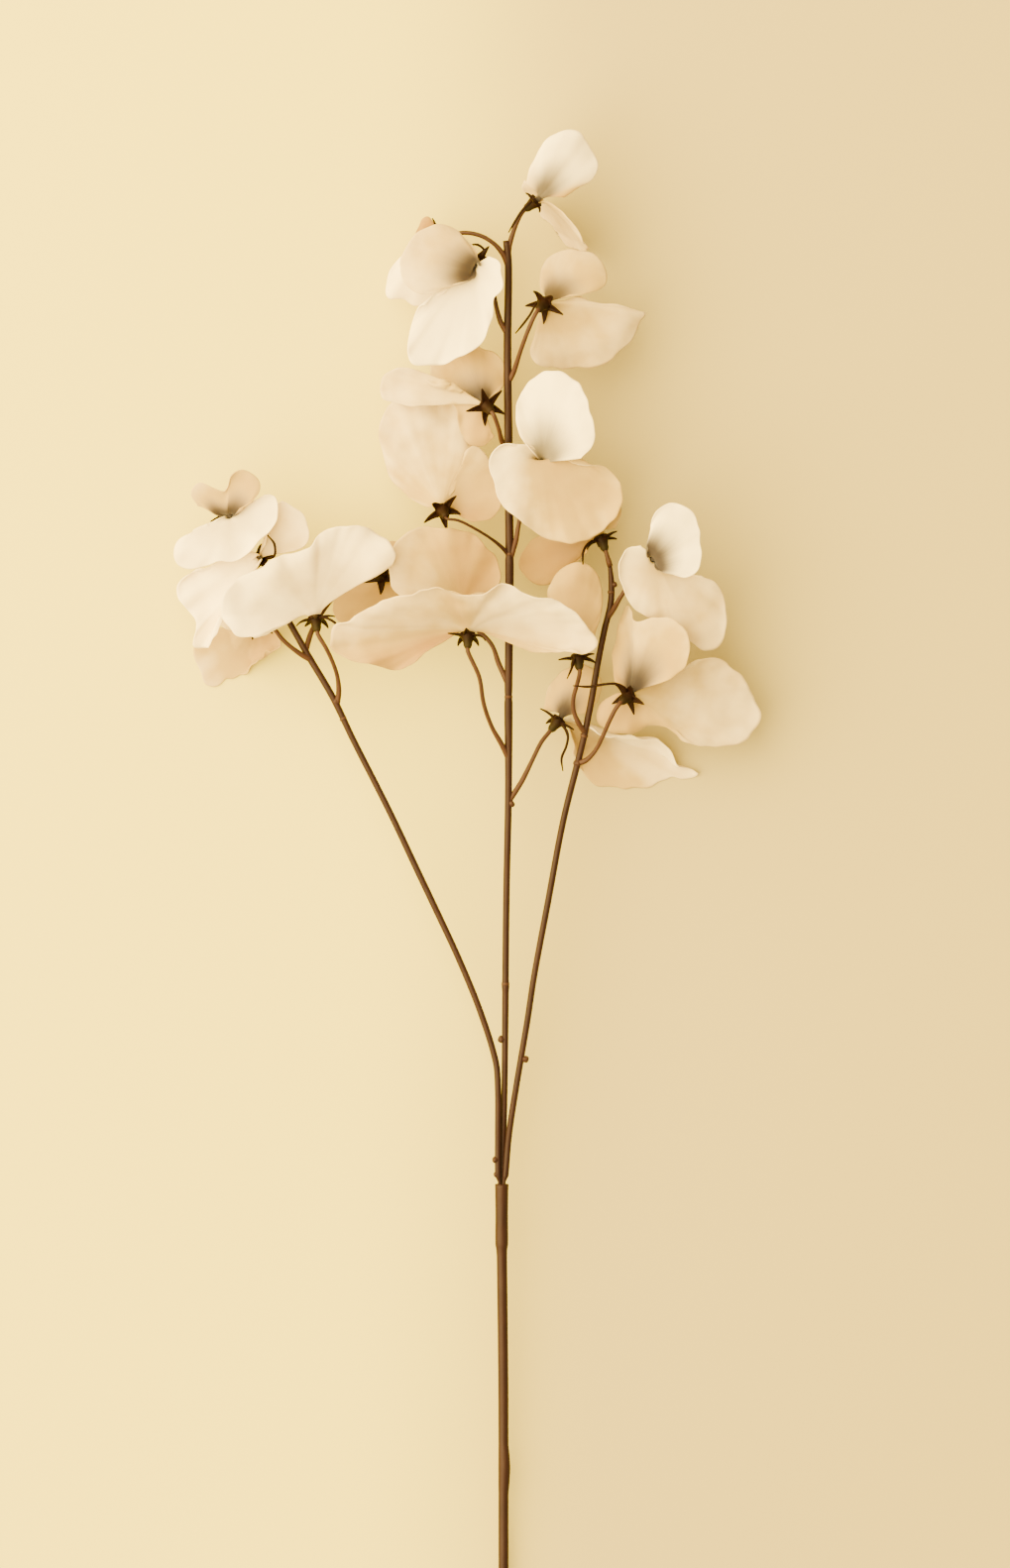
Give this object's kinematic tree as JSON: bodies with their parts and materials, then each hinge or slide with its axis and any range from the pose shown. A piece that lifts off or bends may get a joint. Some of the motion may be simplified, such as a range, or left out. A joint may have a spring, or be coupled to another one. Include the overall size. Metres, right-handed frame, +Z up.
{
  "type": "sweet pea stem",
  "caption": "Artificial sweet pea spray with a long stem, branching spray stems and ivory fabric blooms in dark calyces, lying on its back.",
  "frame": {"origin": "on the table plane, under the middle of the outline as seen from above", "axes": "+Z up from the table, +Y along the stem from its cut end to the top bloom, +X to the right of the stem as the picture shows it"},
  "size_m": [0.2951, 0.7877, 0.0823],
  "materials": {
    "stem_brown": "satin dark reddish brown",
    "calyx_brown": "matte dark brown with an olive tube",
    "petal_ivory": "matte ivory, shaded peach and grey at the throats"
  },
  "bodies": {
    "root": {"main_stem": "stem_brown", "centre_spray_stem": "stem_brown", "left_spray_stem": "stem_brown", "right_spray_stem": "stem_brown", "calyx_c1": "calyx_brown", "bloom_c1": "petal_ivory", "calyx_c2": "calyx_brown", "bloom_c2": "petal_ivory", "calyx_c3": "calyx_brown", "bloom_c3": "petal_ivory", "calyx_c4": "calyx_brown", "bloom_c4": "petal_ivory", "calyx_c5": "calyx_brown", "bloom_c5": "petal_ivory", "calyx_c6": "calyx_brown", "bloom_c6": "petal_ivory", "calyx_c7": "calyx_brown", "bloom_c7": "petal_ivory", "calyx_c8": "calyx_brown", "bloom_c8": "petal_ivory", "calyx_c9": "calyx_brown", "bloom_c9": "petal_ivory", "calyx_c10": "calyx_brown", "bloom_c10": "petal_ivory", "calyx_r1": "calyx_brown", "bloom_r1": "petal_ivory", "calyx_r2": "calyx_brown", "bloom_r2": "petal_ivory", "calyx_r3": "calyx_brown", "bloom_r3": "petal_ivory", "calyx_r4": "calyx_brown", "bloom_r4": "petal_ivory", "calyx_l1": "calyx_brown", "bloom_l1": "petal_ivory", "calyx_l2": "calyx_brown", "bloom_l2": "petal_ivory", "calyx_l3": "calyx_brown", "bloom_l3": "petal_ivory", "calyx_l4": "calyx_brown", "bloom_l4": "petal_ivory", "calyx_l5": "calyx_brown", "bloom_l5": "petal_ivory"}
  },
  "joints": []
}
